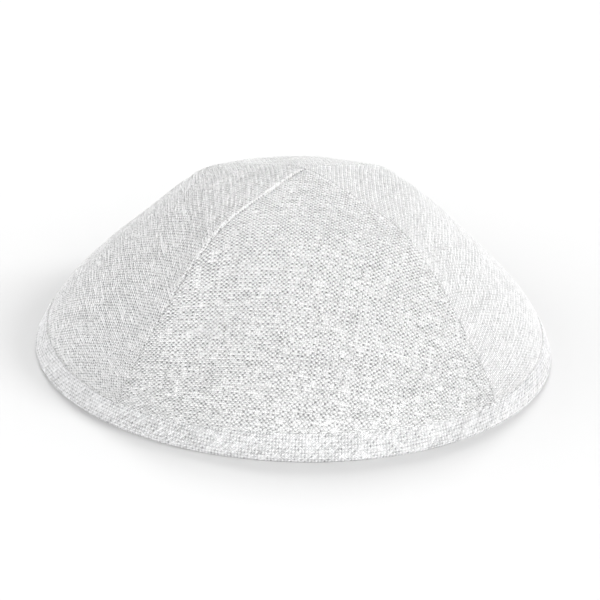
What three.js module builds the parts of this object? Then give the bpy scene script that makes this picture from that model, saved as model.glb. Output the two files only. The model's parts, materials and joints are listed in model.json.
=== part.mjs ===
// Four-panel kippah: a soft skullcap sewn from four cloth gores that meet at the crown, with a band of the
// same cloth, cut on the bias, folded round the edge. Millimetres, +Z up. The origin is the middle of the
// rim on the surface that the cap rests on, and panel_front faces -Y.
import * as THREE from "three";

// Driving dimensions
const rimRadius = 87.5; // widest radius, at the fold of the rim band
const crownHeight = 63.6; // outer face of the cloth at the crown
const panelThickness = 1.2; // one gore, with its backing
const bandThickness = 1.0; // one leg of the folded band
const gap = 0.3; // between neighbouring gores, and between a gore and the band
const bandHeight = 8.0; // mean height of the band's upper edge
const bandBow = 0.8; // that edge runs this much higher at a gore's middle and lower at a seam
const crownLeanRight = 2.0; // the soft crown sits this far off the axis towards +X
const crownLeanFront = 0.5; // and this far towards -Y

// Sections of the dome from the crown to the rim. level is 0 at the crown and 1 at the rim, where the
// height above the surface is crownHeight * (1 - level * level). middle is the distance from the axis to the
// middle of a gore. roundness is 1 for a circular section and 0 for a square one with its corners on the
// seams. ridge is how far the stiff seam stands out of that section.
const domeSections = [
  { level: 0.0, middle: 0.0, roundness: 1.0, ridge: 0.0 },
  { level: 0.22, middle: 16.8, roundness: 0.9, ridge: 0.1 },
  { level: 0.38, middle: 36.2, roundness: 0.8, ridge: 0.5 },
  { level: 0.52, middle: 47.0, roundness: 0.79, ridge: 0.6 },
  { level: 0.64, middle: 57.3, roundness: 0.87, ridge: 0.6 },
  { level: 0.75, middle: 67.8, roundness: 0.94, ridge: 0.5 },
  { level: 0.86, middle: 78.4, roundness: 0.98, ridge: 0.3 },
  { level: 0.94, middle: 84.8, roundness: 1.0, ridge: 0.1 },
  { level: 1.0, middle: 87.7, roundness: 1.0, ridge: 0.0 },
];
const ridgeWidth = 7; // distance from the seam over which its ridge fades

// Soft hollows in the cloth. level and turn (degrees from the gore's middle) place each one, levelSpread and
// turnSpread say how wide it is, and depth is its deepest point. They fade out at the stiff seams.
const hollows = [
  { gore: "panel_front", level: 0.66, turn: -22, levelSpread: 0.16, turnSpread: 13, depth: 0.9 },
  { gore: "panel_left", level: 0.47, turn: 30, levelSpread: 0.12, turnSpread: 12, depth: 0.8 },
  { gore: "panel_right", level: 0.5, turn: -33, levelSpread: 0.12, turnSpread: 9, depth: 0.5 },
];

// The four gores, by the direction that the middle of each one faces, in degrees from +X
const gores = [
  { name: "panel_front", facing: -90 },
  { name: "panel_right", facing: 0 },
  { name: "panel_back", facing: 90 },
  { name: "panel_left", facing: 180 },
];

// How finely the cloth is faceted
const goreColumns = 20;
const goreRows = 13; // from the crown to where the cloth steps in under the band
const tuckedRows = 3; // under the band
const crownRowLevel = 0.04; // first full row below the pointed tip of a gore
const legRows = 3; // along each leg of the band
const foldSteps = 6; // round the fold of the band

// Fit of a gore's lower edge inside the folded band
const tuck = bandThickness + gap; // how far in the cloth steps to pass under the band
const stepTop = 2.6; // height above the band's edge where the cloth starts to step in
const stepBottom = 0.6; // and where it is all the way in
const goreFoot = 3.4; // height of the cloth's raw edge, inside the fold
const pocket = panelThickness + 2 * gap; // room between the two legs of the band
const bandDepth = 2 * bandThickness + pocket; // whole thickness of the rim
const legFoot = 2.6; // height where a leg of the band runs into the fold
const foldHeight = 1.5; // height of the fold's widest point
const foldCrispness = 0.65; // 1 for an elliptical fold, less for one pressed squarer
const flattening = 0.15; // how far the fold is pressed flat where it rests

const quarter = Math.PI / 2;
const goreHalfAngle = Math.PI / 4;

// Smooth curve of one column of the table over the levels
function curveOf(column) {
  const levels = domeSections.map((section) => section.level);
  const values = domeSections.map((section) => section[column]);
  const curve = new THREE.CubicInterpolant(levels, values, 1);
  return (level) => curve.evaluate(level)[0];
}

const middleAt = curveOf("middle");
const roundnessAt = curveOf("roundness");
const ridgeAt = curveOf("ridge");

const heightAt = (level) => crownHeight * (1 - level * level);
const levelAt = (height) => Math.sqrt(1 - height / crownHeight);

// Height of the band's upper edge at an angle from the middle of a gore
const bandEdgeAt = (turn) => bandHeight + bandBow * Math.cos(4 * turn);

// Distance and height of the middle of a gore at a level, depth millimetres in from the outer face
function profileAt(level, depth) {
  const step = 0.001;
  const top = Math.max(level - step, 0);
  const bottom = Math.min(level + step, 1);
  const outward = middleAt(bottom) - middleAt(top);
  const downward = heightAt(top) - heightAt(bottom);
  const length = Math.hypot(outward, downward);
  return {
    middle: middleAt(level) - (depth * downward) / length,
    height: heightAt(level) - (depth * outward) / length,
  };
}

// Depth of the soft hollows of a gore at a place on it
function hollowAt(gore, level, turn) {
  const seamHold = 1 - (turn / goreHalfAngle) ** 6;
  let depth = 0;
  for (const hollow of hollows.filter((row) => row.gore === gore)) {
    const alongLevel = (level - hollow.level) / hollow.levelSpread;
    const alongTurn = (THREE.MathUtils.radToDeg(turn) - hollow.turn) / hollow.turnSpread;
    depth += hollow.depth * Math.exp(-alongLevel * alongLevel - alongTurn * alongTurn);
  }
  return depth * seamHold;
}

// Turns a place given by its distances out from the axis and along the gore into a point, with the lean
function placed(facing, out, along, height, level) {
  const angle = THREE.MathUtils.degToRad(facing);
  const lean = 1 - level * level;
  return new THREE.Vector3(
    out * Math.cos(angle) - along * Math.sin(angle) + crownLeanRight * lean,
    out * Math.sin(angle) + along * Math.cos(angle) - crownLeanFront * lean,
    height,
  );
}

// Point of the dome at a level and an angle from the gore's middle, with the seam's ridge. trim moves it
// square away from the seams, by an amount that grows from none at the middle of the gore.
function domePoint(gore, level, turn, depth, trim) {
  const inward = depth + hollowAt(gore.name, level, turn);
  const { middle, height } = profileAt(level, inward);
  const roundness = roundnessAt(level);
  const along = middle * (roundness * Math.sin(turn) + (1 - roundness) * Math.tan(turn));
  const out = middle * (roundness * Math.cos(turn) + (1 - roundness));
  const fromSeam = (out - Math.abs(along)) / Math.SQRT2;
  const swell = 1 + (ridgeAt(level) / Math.hypot(out, along)) * Math.exp(-((fromSeam / ridgeWidth) ** 2));
  const share = turn / goreHalfAngle;
  return placed(
    gore.facing,
    out * swell + trim * Math.abs(share),
    along * swell - trim * share,
    height,
    level,
  );
}

// Collects triangles into a geometry. A patch is a rectangle of points, rows by columns.
class Faces {
  positions = [];

  triangle(a, b, c) {
    this.positions.push(...a.toArray(), ...b.toArray(), ...c.toArray());
  }

  quad(a, b, c, d) {
    this.triangle(a, b, c);
    this.triangle(a, c, d);
  }

  patch(rows) {
    for (let row = 1; row < rows.length; row += 1) {
      for (let column = 1; column < rows[row].length; column += 1) {
        this.quad(
          rows[row - 1][column - 1],
          rows[row][column - 1],
          rows[row][column],
          rows[row - 1][column],
        );
      }
    }
  }

  geometry() {
    const geometry = new THREE.BufferGeometry();
    geometry.setAttribute("position", new THREE.Float32BufferAttribute(this.positions, 3));
    geometry.computeVertexNormals();
    return geometry;
  }
}

// Rows of one face of a gore, from the crown down and in under the band
function goreFace(gore, faceDepth) {
  const trim = gap / 2 / Math.SQRT2;
  const rows = [];
  for (let row = 0; row <= goreRows + tuckedRows; row += 1) {
    const points = [];
    for (let column = 0; column <= goreColumns; column += 1) {
      const turn = goreHalfAngle * ((2 * column) / goreColumns - 1);
      const bandEdge = bandEdgeAt(turn);
      let level = THREE.MathUtils.lerp(crownRowLevel, levelAt(bandEdge + stepTop), row / goreRows);
      let depth = faceDepth;
      if (row > goreRows) {
        const below = (row - goreRows - 1) / (tuckedRows - 1);
        level = levelAt(THREE.MathUtils.lerp(bandEdge + stepBottom, goreFoot, below));
        depth += tuck;
      }
      points.push(domePoint(gore, level, turn, depth, trim));
    }
    rows.push(points);
  }
  const tip = placed(gore.facing, 2 * trim, 0, crownHeight - faceDepth, 0);
  return { rows, tip };
}

// One gore: an outer and an inner face joined along the seams, at the raw edge and at the pointed tip
function goreGeometry(gore) {
  const outer = goreFace(gore, 0);
  const inner = goreFace(gore, panelThickness);
  const faces = new Faces();
  faces.patch(outer.rows);
  faces.patch(inner.rows.map((points) => points.toReversed()));
  for (let column = 1; column <= goreColumns; column += 1) {
    faces.triangle(outer.tip, outer.rows[0][column - 1], outer.rows[0][column]);
    faces.triangle(inner.tip, inner.rows[0][column], inner.rows[0][column - 1]);
  }
  const leftEdge = (face) => [face.tip, ...face.rows.map((points) => points[0])];
  const rightEdge = (face) => [face.tip, ...face.rows.map((points) => points[goreColumns])];
  faces.patch([leftEdge(outer), leftEdge(inner)]);
  faces.patch([rightEdge(inner), rightEdge(outer)]);
  faces.patch([outer.rows.at(-1), inner.rows.at(-1)]);
  return faces.geometry();
}

// Outline of the folded band, cut through at one angle: up the outside of its outer leg, down into the
// pocket that takes the cloth, up and over the inner leg, down the inside of the cap and round the fold
function bandSection(gore, turn) {
  const edge = bandEdgeAt(turn);
  const leg = (depth, from, to) => {
    const points = [];
    for (let row = 0; row <= legRows; row += 1) {
      const height = THREE.MathUtils.lerp(from, to, row / legRows);
      points.push(domePoint(gore, levelAt(height), turn, depth, 0));
    }
    return points;
  };
  const fold = [];
  const foldRadius = rimRadius - bandDepth / 2;
  for (let step = 0; step <= foldSteps; step += 1) {
    const angle = (Math.PI * step) / foldSteps;
    const side = Math.sign(Math.cos(angle)) * Math.abs(Math.cos(angle)) ** foldCrispness;
    const radius = foldRadius - (bandDepth / 2) * side;
    const drop = (foldHeight + flattening) * Math.abs(Math.sin(angle)) ** foldCrispness;
    const height = Math.max(foldHeight - drop, 0);
    fold.push(placed(gore.facing, radius * Math.cos(turn), radius * Math.sin(turn), height, 1));
  }
  return [
    ...leg(0, legFoot, edge),
    ...leg(bandThickness, edge, legFoot),
    ...leg(bandDepth - bandThickness, legFoot, edge),
    ...leg(bandDepth, edge, legFoot + foldHeight),
    ...fold,
  ];
}

// The band runs right round the cap and closes on itself
function bandGeometry() {
  const sections = [];
  for (const gore of gores) {
    for (let column = 0; column < goreColumns; column += 1) {
      const turn = quarter * (column / goreColumns) - goreHalfAngle;
      const section = bandSection(gore, turn);
      sections.push([...section, section[0]]);
    }
  }
  sections.push(sections[0]);
  const faces = new Faces();
  faces.patch(sections);
  return faces.geometry();
}

// White linen-look cloth. The bias-cut band reads a touch darker, because its threads run aslant.
const panelCloth = new THREE.MeshStandardMaterial({ color: 0xf2f2f3, roughness: 0.92, metalness: 0 });
const bandCloth = new THREE.MeshStandardMaterial({ color: 0xeeeeef, roughness: 0.92, metalness: 0 });

function namedMesh(name, geometry, material) {
  const mesh = new THREE.Mesh(geometry, material);
  mesh.name = name;
  return mesh;
}

const kippah = new THREE.Group();
kippah.name = "kippah";
for (const gore of gores) {
  kippah.add(namedMesh(gore.name, goreGeometry(gore), panelCloth));
}
kippah.add(namedMesh("rim_band", bandGeometry(), bandCloth));

export default kippah;
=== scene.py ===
import json
import math
import bmesh
import bpy
import numpy as np
from mathutils import Matrix, Vector

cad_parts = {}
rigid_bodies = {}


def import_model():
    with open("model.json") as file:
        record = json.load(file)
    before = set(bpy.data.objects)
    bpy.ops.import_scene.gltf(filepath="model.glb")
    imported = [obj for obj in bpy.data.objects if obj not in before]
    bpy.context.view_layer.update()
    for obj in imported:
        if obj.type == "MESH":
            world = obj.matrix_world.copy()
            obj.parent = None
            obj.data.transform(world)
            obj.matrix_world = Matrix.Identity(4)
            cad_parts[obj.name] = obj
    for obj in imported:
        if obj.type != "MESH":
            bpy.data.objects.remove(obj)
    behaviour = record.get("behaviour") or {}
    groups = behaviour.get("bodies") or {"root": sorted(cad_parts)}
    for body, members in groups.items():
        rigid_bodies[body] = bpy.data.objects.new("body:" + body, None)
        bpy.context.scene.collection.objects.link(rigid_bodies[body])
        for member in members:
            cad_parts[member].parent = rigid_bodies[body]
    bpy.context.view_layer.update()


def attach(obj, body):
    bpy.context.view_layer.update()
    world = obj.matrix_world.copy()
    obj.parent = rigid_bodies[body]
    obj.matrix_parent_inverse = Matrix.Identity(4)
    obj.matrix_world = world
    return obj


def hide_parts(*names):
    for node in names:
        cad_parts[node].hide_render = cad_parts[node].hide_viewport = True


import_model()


# The four gores of the crown. Each is cut flat from white linen-look cloth, with its threads running down
# and across its middle, and sewn to its neighbours with the seams turned inside. Its lower edge is tucked
# into the rim band.
mm = 0.001  # the cloth is worked out in millimetres, as in the CAD part, and placed in metres
crown_height = 63.6
rim_radius = 87.5
panel_thickness = 1.2
crown_lean_right = 2.0  # how far the crown is off the middle of the rim
crown_lean_front = 0.5
band_height = 8.0
band_bow = 0.8  # how much higher the band is at the middle of a gore than its mean height
ridge_width = 7.0  # reach of the stiffness of a seam on either side of it
half_gore = math.pi / 4  # turn from the middle of a gore to its seam

# Sections of the dome from the crown to the rim: level, distance of a gore's middle from the axis,
# roundness of the section, and how far the stiff seam stands out of it
dome_sections = np.array([
    (0.00, 0.0, 1.00, 0.0),
    (0.22, 16.8, 0.90, 0.1),
    (0.38, 36.2, 0.80, 0.5),
    (0.52, 47.0, 0.79, 0.6),
    (0.64, 57.3, 0.87, 0.6),
    (0.75, 67.8, 0.94, 0.5),
    (0.86, 78.4, 0.98, 0.3),
    (0.94, 84.8, 1.00, 0.1),
    (1.00, 87.7, 1.00, 0.0),
])

gore_facings = {"panel_front": -90, "panel_right": 0, "panel_back": 90, "panel_left": 180}

# Soft hollows: level, degrees from the gore's middle, spread of each, and depth. They die out at the seams.
hollows = {
    "panel_front": [(0.66, -22, 0.16, 13, 0.6), (0.78, -32, 0.13, 10, 1.3)],
    "panel_left": [(0.47, 30, 0.12, 12, 0.8)],
    "panel_right": [(0.50, -33, 0.12, 9, 0.5)],
    "panel_back": [],
}
hollow_end_power = 6


def curve_of(column):
    """A smooth curve of one column of the sections, through all its values."""
    levels = dome_sections[:, 0]
    values = dome_sections[:, column]
    rises = np.diff(values) / np.diff(levels)
    slopes = np.concatenate((rises[:1], (rises[:-1] + rises[1:]) / 2, rises[-1:]))

    def curve(level):
        span = np.clip(np.searchsorted(levels, level, side="right") - 1, 0, len(levels) - 2)
        width = levels[span + 1] - levels[span]
        rise = values[span + 1] - values[span]
        share = (level - levels[span]) / width
        bend = (1 - share) * (slopes[span] * width - rise) + share * (rise - slopes[span + 1] * width)
        return values[span] + share * rise + share * (1 - share) * bend

    return curve


middle_at = curve_of(1)
roundness_at = curve_of(2)
ridge_at = curve_of(3)


def height_at(level):
    return crown_height * (1 - level * level)


def level_at(height):
    return np.sqrt(np.clip(1 - height / crown_height, 0, 1))


def band_edge_at(turn):
    return band_height + band_bow * np.cos(4 * turn)


def slope_at(level):
    """Outward and downward run of the profile per unit of its length."""
    step = 0.001
    top = np.maximum(level - step, 0)
    bottom = np.minimum(level + step, 1)
    outward = middle_at(bottom) - middle_at(top)
    downward = height_at(top) - height_at(bottom)
    length = np.hypot(outward, downward)
    return outward / length, downward / length


def hollow_at(name, level, turn):
    depth = np.zeros_like(level)
    for centre, side, level_spread, turn_spread, deepest in hollows[name]:
        away = ((level - centre) / level_spread) ** 2 + ((np.degrees(turn) - side) / turn_spread) ** 2
        depth += deepest * np.exp(-away)
    return depth * (1 - (turn / half_gore) ** hollow_end_power)


# Slow waves of the soft cloth, continuous from one gore to the next: each has a direction, a length and a
# height, and all fade out towards the stiff rim
wave_count = 14
wave_height = 0.05
wave_shortest = 17
wave_longest = 44
wave_end_level = 0.95
wave_fade = 0.2
wave_draws = np.random.default_rng(18)
wave_ways = wave_draws.normal(size=(wave_count, 3))
wave_ways /= np.linalg.norm(wave_ways, axis=1, keepdims=True)
wave_lengths = wave_draws.uniform(wave_shortest, wave_longest, wave_count)
wave_starts = wave_draws.uniform(0, 2 * math.pi, wave_count)


def waves_at(points, level):
    phase = points @ (wave_ways.T * (2 * math.pi / wave_lengths)) + wave_starts
    fade = np.clip((wave_end_level - level) / wave_fade, 0, 1)
    return wave_height * np.sin(phase).sum(axis=1) * fade


def placed(facing, out, along, height, level):
    """Points of a gore from its own directions, out from the axis and along the rim."""
    angle = math.radians(facing)
    lean = 1 - level * level
    return np.column_stack((
        out * math.cos(angle) - along * math.sin(angle) + crown_lean_right * lean,
        out * math.sin(angle) + along * math.cos(angle) - crown_lean_front * lean,
        height,
    ))


def dome_points(name, level, turn, depth, trim):
    """Points of the dome, depth millimetres in from its outer face and trim away from the seams."""
    outward, downward = slope_at(level)
    roundness = roundness_at(level)
    share = turn / half_gore

    def at(inward):
        middle = middle_at(level) - inward * downward
        along = middle * (roundness * np.sin(turn) + (1 - roundness) * np.tan(turn))
        out = middle * (roundness * np.cos(turn) + 1 - roundness)
        from_seam = (out - np.abs(along)) / math.sqrt(2)
        far = np.maximum(np.hypot(out, along), 0.001)
        swell = 1 + ridge_at(level) / far * np.exp(-((from_seam / ridge_width) ** 2))
        return placed(
            gore_facings[name],
            out * swell + trim * np.abs(share),
            along * swell - trim * share,
            height_at(level) - inward * outward,
            level,
        )

    outer = at(0 * level)
    return at(depth + hollow_at(name, level, turn) - waves_at(outer, level))


# The flat pattern of a gore. Each level line of the dome opens out into an arc of a circle, which keeps its
# length and turns by less the steeper the cloth is.
table_levels = np.linspace(0, 1, 1601)
table_levels[0] = 1e-5
table_middles = middle_at(table_levels)
table_steps = np.hypot(np.diff(table_middles), np.diff(height_at(table_levels)))
table_down = np.concatenate(([0], np.cumsum(table_steps))) + table_middles[0]
gauss_places, gauss_weights = np.polynomial.legendre.leggauss(6)


def row_length(level, turn):
    """Distance from a gore's middle to the turn, along the level line."""
    roundness = roundness_at(level)[:, None]
    angles = turn[:, None] * (gauss_places + 1) / 2
    along = roundness * np.cos(angles) + (1 - roundness) / np.cos(angles) ** 2
    out = roundness * np.sin(angles)
    return middle_at(level) * turn / 2 * (np.hypot(along, out) @ gauss_weights)


table_turning = half_gore * slope_at(table_levels)[0]
table_half_rows = row_length(table_levels, np.full_like(table_levels, half_gore))
table_radii = table_half_rows / table_turning
seam_across = table_radii * np.sin(table_turning)
seam_down = table_down - table_radii * (1 - np.cos(table_turning))

gore_foot = 3.4  # height of the raw edge, inside the fold of the band
foot_level = float(level_at(gore_foot))
foot_radius = float(np.interp(foot_level, table_levels, table_radii))
foot_down = float(np.interp(foot_level, table_levels, table_down))
foot_half_width = float(np.interp(foot_level, table_levels, seam_across))


def seam_at(down):
    """Half width of the cut at a distance down its middle."""
    return np.interp(down, seam_down, seam_across)


def foot_at(across):
    """How far down the raw edge is at a distance from the middle of the cut."""
    return foot_down - foot_radius + np.sqrt(foot_radius**2 - across**2)


def on_dome(across, down):
    """Level and turn of places in the flat pattern."""
    low = np.zeros_like(across)
    high = np.ones_like(across)
    for _ in range(26):
        level = (low + high) / 2
        radius = np.interp(level, table_levels, table_radii)
        centre = np.interp(level, table_levels, table_down) - radius
        below = np.hypot(across, down - centre) > radius
        low = np.where(below, level, low)
        high = np.where(below, high, level)
    level = np.maximum(level, 1e-4)
    radius = np.interp(level, table_levels, table_radii)
    centre = np.interp(level, table_levels, table_down) - radius
    along = radius * np.arctan2(np.abs(across), down - centre)
    turn = np.clip(along / middle_at(level), 0, half_gore)
    for _ in range(5):
        roundness = roundness_at(level)
        stretch = np.hypot(
            roundness * np.cos(turn) + (1 - roundness) / np.cos(turn) ** 2, roundness * np.sin(turn)
        )
        turn -= (row_length(level, turn) - along) / (middle_at(level) * stretch)
        turn = np.clip(turn, 0, half_gore)
    return level, turn * np.sign(across)


# Threads: their pitch, how wide each is and how far they stand out. Every second weft is thicker. Where
# one crosses another, how far it floats over it is drawn around a middle value.
warp_pitch = 0.77
weft_pitch = 0.71
thread_width = 0.9  # of the pitch
width_wander = 0.05
width_knot_gap = 4  # threads between two random values
thick_weft = 0.12
over_middle = 0.95
over_spread = 0.45
over_least = -0.7
over_most = 1.4
hole_depth = 0.26
float_height = 0.08
weft_lead = 0.07  # how far the crossing threads stand above the lengthwise ones
thicker_lead = 0.12


def blended(table, rows, columns):
    """Values of a table between its whole rows and columns."""
    row = np.floor(rows).astype(int)
    column = np.floor(columns).astype(int)
    down = rows - row
    right = columns - column
    upper = table[row, column] * (1 - right) + table[row, column + 1] * right
    lower = table[row + 1, column] * (1 - right) + table[row + 1, column + 1] * right
    return upper * (1 - down) + lower * down


def thread_wander(draws, threads, along, reach, knot_gap):
    """A slow random value along each thread, blended halfway between two threads."""
    rows = threads - math.floor(threads.min()) + 1
    knots = (along - along.min()) / knot_gap + 1
    table = draws.normal(size=(int(rows.max()) + 3, int(knots.max()) + 3))
    return reach * blended(table, rows, knots)


def thread_draws(draws, warps, wefts):
    """Width of the threads at each place, how far the crossing thread is on top there, and its tone."""
    warp_width = thread_width + thread_wander(draws, warps, wefts, width_wander, width_knot_gap)
    weft_width = thread_width + thread_wander(draws, wefts, warps, width_wander, width_knot_gap)
    weft_width += thick_weft * np.cos(math.pi * wefts)
    rows = wefts - math.floor(wefts.min()) + 1
    columns = warps - math.floor(warps.min()) + 1
    shape = (int(rows.max()) + 3, int(columns.max()) + 3)
    over_draws = np.clip(draws.normal(over_middle, over_spread, shape), over_least, over_most)
    over = blended(over_draws, rows, columns)
    tone = blended(draws.normal(size=shape), rows, columns)
    return {"warp_width": warp_width, "weft_width": weft_width, "over": over, "tone": tone}


def weave_relief(warps, wefts, threads):
    """Height of the outer face of a plain weave at thread counts across and along."""
    weft_over = np.cos(math.pi * warps) * np.cos(math.pi * wefts) * threads["over"]
    thicker = threads["weft_width"] - thread_width
    crossing = (np.cos(math.pi * warps) * np.cos(math.pi * wefts)) ** 2
    hole = (np.sin(math.pi * warps) * np.sin(math.pi * wefts)) ** 2
    return (
        float_height * crossing + weft_lead * weft_over - hole_depth * hole
        + thicker_lead * thicker
    )


def new_object(name, mesh, material):
    """An object of a smooth mesh in one material."""
    if "sharp_face" in mesh.attributes:
        mesh.attributes.remove(mesh.attributes["sharp_face"])
    mesh.materials.append(material)
    made = bpy.data.objects.new(name, mesh)
    bpy.context.scene.collection.objects.link(made)
    return made


def add_numbers(mesh, name, values):
    layer = mesh.attributes.new(name, "FLOAT", "POINT")
    layer.data.foreach_set("value", np.asarray(values, dtype=np.float32))


snap_share = 0.3  # of a grid step, within which a place goes onto the edge


def snapped(across, down, across_step, down_step):
    """Moves the places of a grid that are outside the cut, or nearly, onto its edge."""
    lowest = foot_at(np.minimum(np.abs(across), foot_half_width))
    past_foot = down > lowest - snap_share * down_step
    down = np.maximum(np.where(past_foot, lowest, down), 0)
    edge = seam_at(down)
    past_seam = np.abs(across) > edge - snap_share * across_step
    across = np.where(past_seam, np.copysign(edge, across), across)
    return across, down, past_foot | past_seam


cloth_middle = 55  # distance down the gore where the threads are counted from
cloth_reach = (79, 68)  # half width and half length of the cloth before the cut
outer_pitches = 0.5  # threads between two vertices of the outer sheet
inner_pitches = 2.0
weld_distance = 1e-4


def flat_cut(grain):
    """A gore cut flat: an outer sheet with a vertex at every half thread, a coarser inner one, and the
    cloth's edge between them. The height of a vertex is minus its depth in the cloth. grain is the turn of
    the threads in the cut. Gives the mesh, its places and its thread counts."""
    cut = bmesh.new()
    for pitches, depth in ((outer_pitches, 0.0), (inner_pitches, panel_thickness)):
        steps = (warp_pitch * pitches, weft_pitch * pitches)
        segments = [2 * math.ceil(reach / step) for reach, step in zip(cloth_reach, steps)]
        size = Matrix.Diagonal((segments[0] * steps[0], segments[1] * steps[1], 1, 1))
        middle = Matrix.Translation((0, -cloth_middle, -depth)) @ Matrix.Rotation(grain, 4, "Z")
        sheet = bmesh.ops.create_grid(
            cut, x_segments=segments[0], y_segments=segments[1], size=0.5, matrix=middle @ size
        )["verts"]
        spots = np.array([vert.co[:2] for vert in sheet])
        across, down, on_edge = snapped(spots[:, 0], -spots[:, 1], *steps)
        for vert, x, y, edge in zip(sheet, across.tolist(), down.tolist(), on_edge.tolist()):
            vert.co.x = x
            vert.co.y = -y
            vert.tag = not edge
        faces = {face for vert in sheet for face in vert.link_faces}
        waste = [face for face in faces if not any(vert.tag for vert in face.verts)]
        waste.sort(key=lambda face: face.index)
        bmesh.ops.delete(cut, geom=waste, context="FACES")
    bmesh.ops.remove_doubles(cut, verts=cut.verts, dist=weld_distance)
    bmesh.ops.bridge_loops(cut, edges=[edge for edge in cut.edges if edge.is_boundary])
    bmesh.ops.recalc_face_normals(cut, faces=cut.faces)
    mesh = bpy.data.meshes.new("flat_cut")
    cut.to_mesh(mesh)
    cut.free()
    places = np.empty(len(mesh.vertices) * 3)
    mesh.vertices.foreach_get("co", places)
    places = places.reshape(-1, 3)
    from_middle = places[:, 1] + cloth_middle
    warps = (places[:, 0] * math.cos(grain) + from_middle * math.sin(grain)) / warp_pitch
    wefts = (places[:, 0] * math.sin(grain) - from_middle * math.cos(grain)) / weft_pitch
    corners = np.empty(len(mesh.loops), dtype=np.int32)
    mesh.loops.foreach_get("vertex_index", corners)
    mesh.polygons.foreach_set("use_smooth", np.ones(len(mesh.polygons), dtype=bool))
    layer = mesh.uv_layers.new(name="cloth")
    layer.data.foreach_set("uv", np.column_stack((warps, wefts))[corners].ravel())
    return mesh, places, warps, wefts


# Half width of the cut's outline at each distance down its middle, round the foot below the sides
outline_down = np.linspace(0, foot_down, 4001)
outline_half = seam_at(outline_down)
below_sides = outline_down > foot_at(foot_half_width)
outline_half[below_sides] = np.sqrt(
    np.maximum(foot_radius**2 - (outline_down[below_sides] - foot_down + foot_radius) ** 2, 0)
)


def math_node(tree, operation, *values, clamp=False):
    """A Math node with its inputs linked or set, giving its output."""
    node = tree.nodes.new("ShaderNodeMath")
    node.operation = operation
    node.use_clamp = clamp
    for socket, value in zip(node.inputs, values):
        if isinstance(value, (int, float)):
            socket.default_value = value
        else:
            tree.links.new(value, socket)
    return node.outputs[0]


def ramp_node(tree, value, low, high, from_value=0.0, to_value=1.0):
    """A smooth step of a value between low and high."""
    node = tree.nodes.new("ShaderNodeMapRange")
    node.interpolation_type = "SMOOTHSTEP"
    node.inputs["From Min"].default_value = low
    node.inputs["From Max"].default_value = high
    node.inputs["To Min"].default_value = from_value
    node.inputs["To Max"].default_value = to_value
    tree.links.new(value, node.inputs["Value"])
    return node.outputs["Result"]


# Plain weave as a node group. It takes thread counts across and along, the width of the threads there and
# how far the crossing one floats. It gives the height of the cloth's face, the holes between the threads,
# the wave of the floats and the fibres of the thread on top.
weave = bpy.data.node_groups.new("plain weave", "ShaderNodeTree")
weave.interface.new_socket(name="Threads", in_out="INPUT", socket_type="NodeSocketVector")
for socket in ("Warp Width", "Weft Width", "Over"):
    weave.interface.new_socket(name=socket, in_out="INPUT", socket_type="NodeSocketFloat")
for socket in ("Relief", "Hole", "Float", "Fibres"):
    weave.interface.new_socket(name=socket, in_out="OUTPUT", socket_type="NodeSocketFloat")
weave_in = weave.nodes.new("NodeGroupInput")
weave_out = weave.nodes.new("NodeGroupOutput")
counts = weave.nodes.new("ShaderNodeSeparateXYZ")
weave.links.new(weave_in.outputs["Threads"], counts.inputs[0])
wave_share = 0.45  # how much of a thread's height is the wave of its path
fibres_across = 7  # streaks in a thread's width
fibres_along = 1.1  # and in one pitch of its length
thread_blend = 0.15  # of the heights of two threads where they meet
top_blend = 0.2
hole_bottom = 0.1  # heights of the face where a hole is full and where it ends
hole_top = 0.62


def thread_height(own_count, cross_count, width, side):
    """Height of one system of threads. own_count numbers them, cross_count runs along them."""
    number = math_node(weave, "ROUND", own_count)
    sign = math_node(weave, "COSINE", math_node(weave, "MULTIPLY", number, math.pi))
    path = math_node(weave, "COSINE", math_node(weave, "MULTIPLY", cross_count, math.pi))
    path = math_node(weave, "MULTIPLY", path, math_node(weave, "MULTIPLY", sign, side * wave_share))
    path = math_node(weave, "MULTIPLY", path, weave_in.outputs["Over"])
    from_middle = math_node(weave, "MULTIPLY", math_node(weave, "SUBTRACT", own_count, number), 2)
    share = math_node(weave, "DIVIDE", from_middle, width)
    inside = math_node(weave, "SUBTRACT", 1, math_node(weave, "MULTIPLY", share, share))
    round_top = math_node(weave, "SQRT", math_node(weave, "MAXIMUM", inside, 0))
    return math_node(weave, "MULTIPLY", math_node(weave, "ADD", path, 1 - wave_share), round_top)


def fibre_noise(across_scale, along_scale):
    """Noise in fine streaks, with its own scale across and along the cloth."""
    stretched = weave.nodes.new("ShaderNodeVectorMath")
    stretched.operation = "MULTIPLY"
    weave.links.new(weave_in.outputs["Threads"], stretched.inputs[0])
    stretched.inputs[1].default_value = (across_scale, along_scale, 0)
    noise = weave.nodes.new("ShaderNodeTexNoise")
    noise.noise_dimensions = "2D"
    noise.inputs["Scale"].default_value = 1
    noise.inputs["Detail"].default_value = 2
    weave.links.new(stretched.outputs[0], noise.inputs["Vector"])
    return noise.outputs[0]


weft_height = thread_height(counts.outputs[1], counts.outputs[0], weave_in.outputs["Weft Width"], 1)
warp_height = thread_height(counts.outputs[0], counts.outputs[1], weave_in.outputs["Warp Width"], -1)
face_height = math_node(weave, "SMOOTH_MAX", weft_height, warp_height, thread_blend)
height_lead = math_node(weave, "SUBTRACT", weft_height, warp_height)
on_top = ramp_node(weave, height_lead, -top_blend, top_blend)
fibre_mix = weave.nodes.new("ShaderNodeMix")
weave.links.new(on_top, fibre_mix.inputs[0])
weave.links.new(fibre_noise(fibres_across, fibres_along), fibre_mix.inputs[2])
weave.links.new(fibre_noise(fibres_along, fibres_across), fibre_mix.inputs[3])
weave.links.new(face_height, weave_out.inputs["Relief"])
weave.links.new(ramp_node(weave, face_height, hole_bottom, hole_top, 1, 0), weave_out.inputs["Hole"])
warp_wave = math_node(weave, "COSINE", math_node(weave, "MULTIPLY", counts.outputs[0], math.pi))
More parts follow.
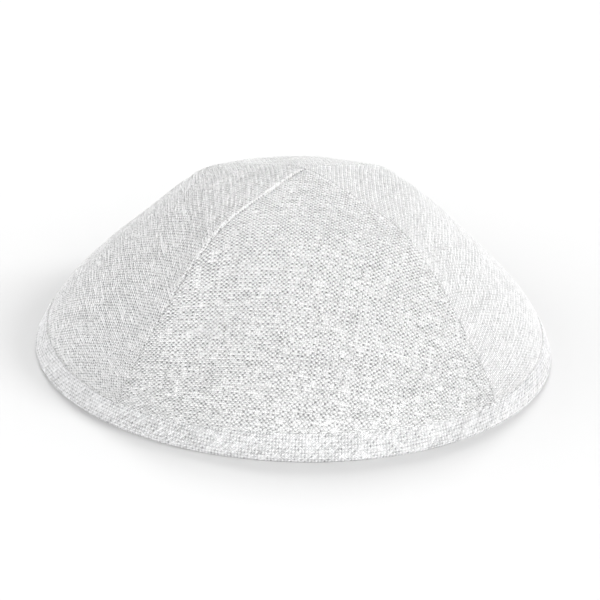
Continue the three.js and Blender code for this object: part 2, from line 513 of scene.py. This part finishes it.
weft_wave = math_node(weave, "COSINE", math_node(weave, "MULTIPLY", counts.outputs[1], math.pi))
both_waves = math_node(weave, "MULTIPLY", warp_wave, weft_wave)
float_wave = math_node(weave, "MULTIPLY", both_waves, weave_in.outputs["Over"])
weave.links.new(float_wave, weave_out.inputs["Float"])
weave.links.new(fibre_mix.outputs[0], weave_out.inputs["Fibres"])


# The dark end of the cloth's lightness: painted shade in holes and pits, and the cloth's own darker tones,
# mix towards it
dark_end_colour = (0.06, 0.06, 0.065, 1)
middle_lightness = 0.86
# Painted shade in the holes between the threads
hole_shade_strength = 0.18
patch_strength = 0.04
patch_scale = 0.09
fibre_strength = 0.25
fibre_relief = 0.3
pit_shade_ends = (-0.95, -0.2)  # of the float, from full painted pit shade to none
crest_highlight_ends = (0.1, 0.9)  # and from no painted crest highlight to a full one
top_roughness = 0.85


def fact_node(tree, name):
    """A number that the mesh keeps at its points."""
    node = tree.nodes.new("ShaderNodeAttribute")
    node.attribute_name = name
    return node.outputs["Fac"]


def scaled_node(tree, value, middle, strength):
    """How far a value is from its middle, times a strength."""
    return math_node(tree, "MULTIPLY", math_node(tree, "SUBTRACT", value, middle), strength)


def cloth_material(name, thread_colour, pit_shade_strength, crest_highlight_strength, weft_width_light_and_shade, tone_spread, relief):
    """Cloth in plain weave, its detail following the piece's own cloth map. A pit is where the lengthwise
    thread dips between two crossing ones, and gets painted shade; a crest is where a crossing thread comes
    up, and gets a painted highlight. The holes between the threads get painted shade, and the threads'
    lightness also follows their thickness, as painted light on thicker wefts and painted shade on thinner
    ones."""
    material = bpy.data.materials.new(name)
    material.use_nodes = True
    tree = material.node_tree
    shader = tree.nodes["Principled BSDF"]
    shader.inputs["Specular IOR Level"].default_value = 0.25
    shader.inputs["Sheen Weight"].default_value = 0.12
    shader.inputs["Sheen Roughness"].default_value = 0.6
    where = tree.nodes.new("ShaderNodeUVMap")
    where.uv_map = "cloth"
    group = tree.nodes.new("ShaderNodeGroup")
    group.node_tree = weave
    tree.links.new(where.outputs[0], group.inputs["Threads"])
    weft_width = fact_node(tree, "weft_width")
    tree.links.new(fact_node(tree, "warp_width"), group.inputs["Warp Width"])
    tree.links.new(weft_width, group.inputs["Weft Width"])
    tree.links.new(fact_node(tree, "over"), group.inputs["Over"])
    patches = tree.nodes.new("ShaderNodeTexNoise")
    patches.noise_dimensions = "2D"
    patches.inputs["Scale"].default_value = patch_scale
    patches.inputs["Detail"].default_value = 3
    tree.links.new(where.outputs[0], patches.inputs["Vector"])
    # Painted shade in the holes between the threads
    hole = math_node(tree, "MULTIPLY", group.outputs["Hole"], hole_shade_strength)
    patch = scaled_node(tree, patches.outputs[0], 0.5, patch_strength)
    # Painted shade in the pits and a painted highlight on the crests
    pit_shade = ramp_node(tree, group.outputs["Float"], *pit_shade_ends, pit_shade_strength, 0)
    crest_highlight = ramp_node(tree, group.outputs["Float"], *crest_highlight_ends, 0, crest_highlight_strength)
    # The stored tone holds the random tone of the crossings, and on the gores also the painted highlight and
    # shade at the seam ridges and the painted shade of the gores that face the lights
    tone = math_node(tree, "MULTIPLY", fact_node(tree, "tone"), tone_spread)
    fibre = scaled_node(tree, group.outputs["Fibres"], 0.5, fibre_strength)
    lightness = math_node(tree, "SUBTRACT", middle_lightness, math_node(tree, "ADD", hole, pit_shade))
    lightness = math_node(tree, "ADD", lightness, crest_highlight)
    lightness = math_node(tree, "ADD", lightness, math_node(tree, "ADD", patch, tone))
    # Painted light on the thicker wefts and painted shade on the thinner ones
    lightness = math_node(tree, "ADD", lightness, scaled_node(tree, weft_width, thread_width, weft_width_light_and_shade))
    lightness = math_node(tree, "ADD", lightness, fibre, clamp=True)
    colour = tree.nodes.new("ShaderNodeMix")
    colour.data_type = "RGBA"
    colour.inputs[6].default_value = dark_end_colour
    colour.inputs[7].default_value = thread_colour
    tree.links.new(lightness, colour.inputs[0])
    tree.links.new(colour.outputs[2], shader.inputs["Base Color"])
    rough = ramp_node(tree, group.outputs["Relief"], 0, 1, 1.0, top_roughness)
    tree.links.new(rough, shader.inputs["Roughness"])
    bump = tree.nodes.new("ShaderNodeBump")
    bump.inputs["Distance"].default_value = relief * mm
    fine = math_node(tree, "MULTIPLY", group.outputs["Fibres"], fibre_relief)
    tree.links.new(math_node(tree, "ADD", group.outputs["Relief"], fine), bump.inputs["Height"])
    tree.links.new(bump.outputs[0], shader.inputs["Normal"])
    return material


panel_cloth = cloth_material(
    "panel cloth", thread_colour=(0.84, 0.84, 0.84, 1), pit_shade_strength=0.56, crest_highlight_strength=0.20,
    weft_width_light_and_shade=0.8, tone_spread=0.05, relief=0.50,
)

seam_roll = 0.7  # radius of the cloth's edge where it turns down into a seam
seam_sink = 0.24
seam_trim = 0.02
# The seam allowances are pressed to one side. They raise a narrow ridge there, and sink the cloth beside it,
# from the crown to half way down. A painted highlight lies along the ridge and a painted shade beside it.
ridge_place = 0.9  # from the seam
ridge_half_width = 0.55
ridge_rise = 0.22
ridge_end = 68
ridge_fade = 40
# Strengths of the painted highlight along the ridge and the painted shade on the cloth beside it
ridge_painted_highlight = 4.5
ridge_painted_shade = 1.4
ridge_flattening = 0.7
# How strongly the ridge of each gore's own seam shows, and the gore on the far side of the other seam
ridge_shares = {"panel_front": 0.3, "panel_right": 0.6, "panel_back": 0.6, "panel_left": 1.0}
gores_before = {
    "panel_front": "panel_left", "panel_right": "panel_front", "panel_back": "panel_right",
    "panel_left": "panel_back",
}
# Small puckers where the seams gather the cloth, drawn apart for its two sides
pucker_depth = 0.07
pucker_reach = 4.5
pucker_knot_gap = 3.4
other_side = 37.0
# The cloth is pulled in towards the band's upper edge, and its threads lie flat there
tuck = 0.37
step_top = 3.4
step_bottom = -0.2
relief_fade = 1.2
relief_least = 0.1
# How far the threads wander in the cloth, away from its edges
across_wander = 0.13
down_wander = 0.12
wander_knot_gap = 4
free_distance = 2
# Turn of the threads in each cut, in degrees, and how far they stand out, which also scales their painted
# pit
# shade and crest highlight: flatter on the right and behind. Then the painted shade of each gore, darkest on
# the right and then behind, where the key and back lights fall full on them
grains = {"panel_front": -8.5, "panel_right": -4, "panel_back": 3, "panel_left": 0}
thread_lifts = {"panel_front": 1.0, "panel_right": 0.62, "panel_back": 0.8, "panel_left": 0.95}
gore_painted_shades = {"panel_front": 0, "panel_right": -1.3, "panel_back": -0.7, "panel_left": -0.2}
for number, name in enumerate(gore_facings):
    draws = np.random.default_rng(40 + number)
    mesh, places, warps, wefts = flat_cut(math.radians(grains[name]))
    cut_across = places[:, 0]
    cut_down = -places[:, 1]
    cut_depth = -places[:, 2]
    seam_slope = seam_at(cut_down + 0.5) - seam_at(np.maximum(cut_down - 0.5, 0))
    seam_slant = np.hypot(1, seam_slope)
    from_seam = np.maximum(seam_at(cut_down) - np.abs(cut_across), 0) / seam_slant
    from_foot = foot_at(np.minimum(np.abs(cut_across), foot_half_width)) - cut_down
    free = np.clip(np.minimum(from_seam, from_foot) / free_distance, 0, 1)
    across = cut_across + free * thread_wander(draws, warps, wefts, across_wander, wander_knot_gap)
    down = cut_down + free * thread_wander(draws, wefts, warps, down_wander, wander_knot_gap)
    threads = thread_draws(draws, warps, wefts)
    threads["over"] = threads["over"] * thread_lifts[name]
    # Painted shade of the gore, darker where the lights fall full on it
    threads["tone"] = threads["tone"] + gore_painted_shades[name]
    level, turn = on_dome(across, down)
    above = height_at(level) - band_edge_at(turn)
    step_in = np.clip((step_top - above) / (step_top - step_bottom), 0, 1)
    step_in = tuck * step_in * step_in * (3 - 2 * step_in)
    edge_share = 1 - np.clip(from_seam / seam_roll, 0, 1)
    bulk = np.clip((ridge_end - cut_down) / ridge_fade, 0, 1)
    on_ridge = bulk * np.exp(-(((from_seam - ridge_place) / ridge_half_width) ** 2))
    on_ridge *= (cut_across > 0) * ridge_shares[name]
    beside_ridge = bulk * np.exp(-((from_seam / ridge_half_width) ** 2))
    beside_ridge *= (cut_across < 0) * ridge_shares[gores_before[name]]
    rolled = seam_sink * (1 - np.sqrt(1 - edge_share**2)) + ridge_rise * (beside_ridge - on_ridge)
    # Painted highlight along the ridge and painted shade beside it, carried in the tone
    threads["tone"] = threads["tone"] + ridge_painted_highlight * on_ridge - ridge_painted_shade * beside_ridge
    side = np.where(cut_across > 0, other_side, 0.0)
    pucker = thread_wander(draws, side, cut_down, pucker_depth, pucker_knot_gap)
    pucker = pucker * np.exp(-from_seam / pucker_reach)
    relief = weave_relief(warps, wefts, threads) * thread_lifts[name]
    relief *= np.clip(above / relief_fade, relief_least, 1) * (1 - ridge_flattening * on_ridge)
    outer_face = cut_depth < panel_thickness / 2
    depth = np.where(outer_face, rolled - relief, panel_thickness) + step_in + pucker
    points = dome_points(name, level, turn, depth, seam_trim)
    mesh.name = name
    mesh.vertices.foreach_set("co", (points * mm).ravel())
    for fact, values in threads.items():
        add_numbers(mesh, fact, values)
    mesh.update()
    piece = new_object(name + "_cloth", mesh, panel_cloth)
    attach(piece, "root")
    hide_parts(name)


# The rim band: a strip of the same cloth cut on the bias, folded once round the raw edge of the four gores
# and stitched down. Its threads run at 45 degrees to its length.
band_depth = 3.8  # of the whole folded strip
leg_thickness = 0.34
leg_foot = 2.6  # height where the legs of the strip leave the fold
lip_height = 0.8  # of half the leg's thickness
fold_height = 1.5
fold_crispness = 0.65  # below 1 the fold is squarer than an ellipse
flattening = 0.15  # of the fold where it rests
resting_height = 0.3  # below which the threads are pressed flat
bias_pitch = 0.736
band_columns = 1056
shown_rows = 74
hidden_rows = 18
fold_steps = 49
outer_leg_steps = 25
other_leg_steps = 8
outer_lip_steps = 9
inner_lip_steps = 7


def band_outline(name, turn):
    """Points round the band's section at each turn: over its inner edge, down its inner face, round the
    fold, up its outer face, over its upper edge and through the pocket. Also the number that show."""
    edge = band_edge_at(turn)
    lip = leg_thickness / 2
    lip_rise = lip * lip_height
    sections = []

    def leg(depth, start, end, count):
        for share in np.linspace(0, 1, count):
            height = start + (end - start) * share
            sections.append(dome_points(name, level_at(height), turn, depth, 0))

    def lip_round(depth, count):
        for angle in np.linspace(0, math.pi, count + 2)[1:-1]:
            height = edge - lip_rise + lip_rise * math.sin(angle)
            inward = depth + lip - lip * math.cos(angle)
            sections.append(dome_points(name, level_at(height), turn, inward, 0))

    fold_radius = rim_radius - band_depth / 2
    leg_top = edge - lip_rise
    low = np.full_like(edge, leg_foot)
    lip_round(band_depth - leg_thickness, inner_lip_steps)
    leg(band_depth, leg_top, low + fold_height, other_leg_steps)
    for angle in np.linspace(0, math.pi, fold_steps):
        side = math.copysign(abs(math.cos(angle)) ** fold_crispness, math.cos(angle))
        radius = fold_radius - band_depth / 2 * side
        height = max(fold_height - (fold_height + flattening) * math.sin(angle) ** fold_crispness, 0)
        sections.append(placed(
            gore_facings[name], radius * np.cos(turn), radius * np.sin(turn),
            np.full_like(turn, height), np.ones_like(turn),
        ))
    leg(0, low, leg_top, outer_leg_steps)
    lip_round(0, outer_lip_steps)
    shown = len(sections)
    leg(leg_thickness, leg_top, low, other_leg_steps)
    leg(band_depth - leg_thickness, low, leg_top, other_leg_steps)
    sections.append(sections[0])
    return np.stack(sections, axis=1), shown


gore_columns = band_columns // 4
band_rings = []
band_counts = []
for name in gore_facings:
    turn = (np.arange(gore_columns) / gore_columns * 2 - 1) * half_gore
    outline, shown = band_outline(name, turn)
    reach = np.linalg.norm(np.diff(outline, axis=1), axis=2).cumsum(axis=1)
    reach = np.concatenate((np.zeros((len(turn), 1)), reach), axis=1)
    for column in range(gore_columns):
        shown_reach = np.linspace(0, reach[column, shown - 1], shown_rows + 1)
        hidden_reach = np.linspace(reach[column, shown - 1], reach[column, -1], hidden_rows + 1)[1:]
        reaches = np.concatenate((shown_reach, hidden_reach))
        band_counts.append(reaches)
        band_rings.append(np.column_stack([
            np.interp(reaches, reach[column], outline[column, :, axis]) for axis in range(3)
        ]))
band_rings.append(band_rings[0])
band_counts.append(band_counts[0])
band_rings = np.array(band_rings)
band_counts = np.array(band_counts)

band_work = bmesh.new()
band_rows = shown_rows + hidden_rows
band_weld = 0.001
bmesh.ops.create_grid(
    band_work, x_segments=band_columns, y_segments=band_rows, size=0.5,
    matrix=Matrix.Diagonal((band_columns, band_rows, 1, 1)),
)
cloth_map = band_work.loops.layers.uv.new("cloth")
column_step = bias_pitch / math.sqrt(2)
bias = math.sqrt(0.5) / bias_pitch


def on_bias(vert):
    """Column and row of a vertex of the flat grid, and its thread counts across and along."""
    column = round(vert.co.x + band_columns / 2)
    row = round(vert.co.y + band_rows / 2)
    along = column * column_step
    across = band_counts[column, row]
    return column, row, ((along + across) * bias, (along - across) * bias)


for face in band_work.faces:
    face.smooth = True
    for loop in face.loops:
        loop[cloth_map].uv = on_bias(loop.vert)[2]
warp_count = band_work.verts.layers.float.new("warps")
weft_count = band_work.verts.layers.float.new("wefts")
for vert in band_work.verts:
    column, row, thread_counts = on_bias(vert)
    vert[warp_count], vert[weft_count] = thread_counts
    vert.co = Vector(band_rings[column, row])
bmesh.ops.remove_doubles(band_work, verts=band_work.verts, dist=band_weld)
bmesh.ops.recalc_face_normals(band_work, faces=band_work.faces)
band_mesh = bpy.data.meshes.new("rim_band")
band_work.to_mesh(band_mesh)
band_work.free()


def point_numbers(mesh, name):
    """The numbers that a mesh keeps at its points."""
    numbers = np.empty(len(mesh.vertices))
    mesh.attributes[name].data.foreach_get("value", numbers)
    return numbers


warps = point_numbers(band_mesh, "warps")
wefts = point_numbers(band_mesh, "wefts")
threads = thread_draws(np.random.default_rng(77), warps, wefts)
relief = weave_relief(warps, wefts, threads)
for fact, values in threads.items():
    add_numbers(band_mesh, fact, values)
places = np.empty(len(band_mesh.vertices) * 3)
band_mesh.vertices.foreach_get("co", places)
places = places.reshape(-1, 3)
normals = np.array([normal.vector for normal in band_mesh.vertex_normals])
free = np.clip(places[:, 2] / resting_height, 0, 1)
places = places + normals * (relief * free)[:, None]
places[:, 2] = np.maximum(places[:, 2], 0)
band_mesh.vertices.foreach_set("co", (places * mm).ravel())
band_cloth = cloth_material(
    "band cloth", thread_colour=(0.81, 0.81, 0.815, 1), pit_shade_strength=0.38, crest_highlight_strength=0.12,
    weft_width_light_and_shade=0.8, tone_spread=0.10, relief=0.45,
)
band = new_object("rim_band_cloth", band_mesh, band_cloth)
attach(band, "root")
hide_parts("rim_band")


# The stitches that hold the band: white sewing thread, lying in the step between the band's upper edge and
# the gores, all the way round.
stitches_per_gore = 43
stitch_share = 0.78  # of the pitch that the thread is on top
stitch_radius = 0.17
stitch_rise = 0.03  # above the band's edge
stitch_wander = 0.04
stitch_depth = 0.20
stitch_sides = 8
stitch_rings = 6

stitch_work = bmesh.new()
stitch_turns = ((np.arange(stitches_per_gore) + 0.5) / stitches_per_gore * 2 - 1) * half_gore
stitch_reach = stitch_share * half_gore / stitches_per_gore
stitch_draws = np.random.default_rng(5)
for name in gore_facings:
    ends = []
    for turn in (stitch_turns - stitch_reach, stitch_turns + stitch_reach):
        height = band_edge_at(turn) + stitch_rise + stitch_draws.normal(size=turn.shape) * stitch_wander
        ends.append(dome_points(name, level_at(height), turn, stitch_depth, 0))
    for start, end in zip(*ends):
        way = Vector(end - start)
        outward = Vector((start[0], start[1], 0)).normalized()
        upward = way.cross(outward).normalized()
        axes = Matrix((way / 2, outward * stitch_radius, upward * stitch_radius)).transposed().to_4x4()
        middle = Matrix.Translation(Vector(start + end) / 2 * mm)
        bmesh.ops.create_uvsphere(
            stitch_work, u_segments=stitch_sides, v_segments=stitch_rings, radius=mm,
            matrix=middle @ axes @ Matrix.Rotation(math.pi / 2, 4, "Y"),
        )
for face in stitch_work.faces:
    face.smooth = True
bmesh.ops.recalc_face_normals(stitch_work, faces=stitch_work.faces)
stitch_mesh = bpy.data.meshes.new("edge_stitches")
stitch_work.to_mesh(stitch_mesh)
stitch_work.free()
thread = bpy.data.materials.new("stitch thread")
thread.use_nodes = True
thread_shader = thread.node_tree.nodes["Principled BSDF"]
thread_shader.inputs["Base Color"].default_value = (0.77, 0.77, 0.77, 1)
thread_shader.inputs["Roughness"].default_value = 0.8
stitches = new_object("edge_stitches", stitch_mesh, thread)
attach(stitches, "root")


# The studio: a plain pale floor, a white sky that is brighter low down and in front, and two wide soft
# lights, the stronger from the upper back and the other from the upper right.
floor_half = 3  # metres
floor_white = 0.675
floor_work = bmesh.new()
bmesh.ops.create_grid(floor_work, x_segments=1, y_segments=1, size=floor_half)
floor_mesh = bpy.data.meshes.new("floor")
floor_work.to_mesh(floor_mesh)
floor_work.free()
floor_paint = bpy.data.materials.new("white floor")
floor_paint.use_nodes = True
floor_shader = floor_paint.node_tree.nodes["Principled BSDF"]
floor_shader.inputs["Base Color"].default_value = (floor_white, floor_white, floor_white, 1)
floor_shader.inputs["Roughness"].default_value = 1
floor_shader.inputs["Specular IOR Level"].default_value = 0
floor = new_object("floor", floor_mesh, floor_paint)

# The sky by the height of its direction: full up to the first, and black from the second on
sky_strength = 2.55
sky_full = 0.35
sky_end = 0.80
sky_tilt = (-0.12, -0.36, 0)  # the side where it is brighter
# Below the floor it is as dim as the light that a floor gives back
under_strength = 0.4
under_full = -0.20
under_end = -0.05
world = bpy.data.worlds.new("white studio")
bpy.context.scene.world = world
world.use_nodes = True
sky = world.node_tree
sky_way = sky.nodes.new("ShaderNodeTexCoord")
sky_parts = sky.nodes.new("ShaderNodeSeparateXYZ")
sky.links.new(sky_way.outputs["Generated"], sky_parts.inputs[0])
sky_light = ramp_node(sky, sky_parts.outputs[2], sky_full, sky_end, sky_strength, 0.0)
sky_side = sky.nodes.new("ShaderNodeVectorMath")
sky_side.operation = "DOT_PRODUCT"
sky.links.new(sky_way.outputs["Generated"], sky_side.inputs[0])
sky_side.inputs[1].default_value = sky_tilt
side_light = math_node(sky, "ADD", sky_side.outputs["Value"], 1)
under_light = ramp_node(sky, sky_parts.outputs[2], under_full, under_end, under_strength, 1.0)
upper_light = math_node(sky, "MULTIPLY", sky_light, side_light)
all_light = math_node(sky, "MULTIPLY", upper_light, under_light)
sky.links.new(all_light, sky.nodes["Background"].inputs["Strength"])
sky.nodes["Background"].inputs["Color"].default_value = (1, 1, 1, 1)


def soft_sun(name, direction, strength, spread):
    """A far, wide soft light that shines from a direction."""
    light = bpy.data.lights.new(name, "SUN")
    light.energy = strength
    light.angle = math.radians(spread)
    made = bpy.data.objects.new(name, light)
    bpy.context.scene.collection.objects.link(made)
    made.rotation_euler = Vector(direction).to_track_quat("Z", "Y").to_euler()
    return made


soft_sun("key light", (1.0, -0.28, 0.80), 1.35, 20)
soft_sun("back light", (0.05, 1.0, 0.9), 1.9, 18)

# The camera, at the photograph's angle: 25 degrees above the floor, a little to the left of the front and
# tilted a little to one side. It looks at a point low in the middle of the cap.
camera_elevation = math.radians(24.92)
camera_azimuth = math.radians(-4.71)
camera_roll = math.radians(2.09)
camera_distance = 0.8
camera_aim = Vector((2.1, 5.93, 13.4)) * mm
camera = bpy.data.objects.new("camera", bpy.data.cameras.new("camera"))
bpy.context.scene.collection.objects.link(camera)
camera.data.sensor_width = 36
camera.data.lens = 140.6
camera.data.clip_start = 0.01
camera.data.clip_end = 20
toward = Vector((
    math.sin(camera_azimuth) * math.cos(camera_elevation),
    -math.cos(camera_azimuth) * math.cos(camera_elevation),
    math.sin(camera_elevation),
))
camera_place = toward * camera_distance
turned = (camera_place - camera_aim).to_track_quat("Z", "Y").to_matrix().to_4x4()
camera.matrix_world = Matrix.Translation(camera_place) @ turned @ Matrix.Rotation(camera_roll, 4, "Z")
bpy.context.scene.camera = camera
bpy.context.scene.view_settings.view_transform = "Standard"

for spare in [o for o in bpy.context.scene.objects if o.name in ("Cube", "Light", "Camera")]:
    bpy.data.objects.remove(spare)

bpy.context.view_layer.update()
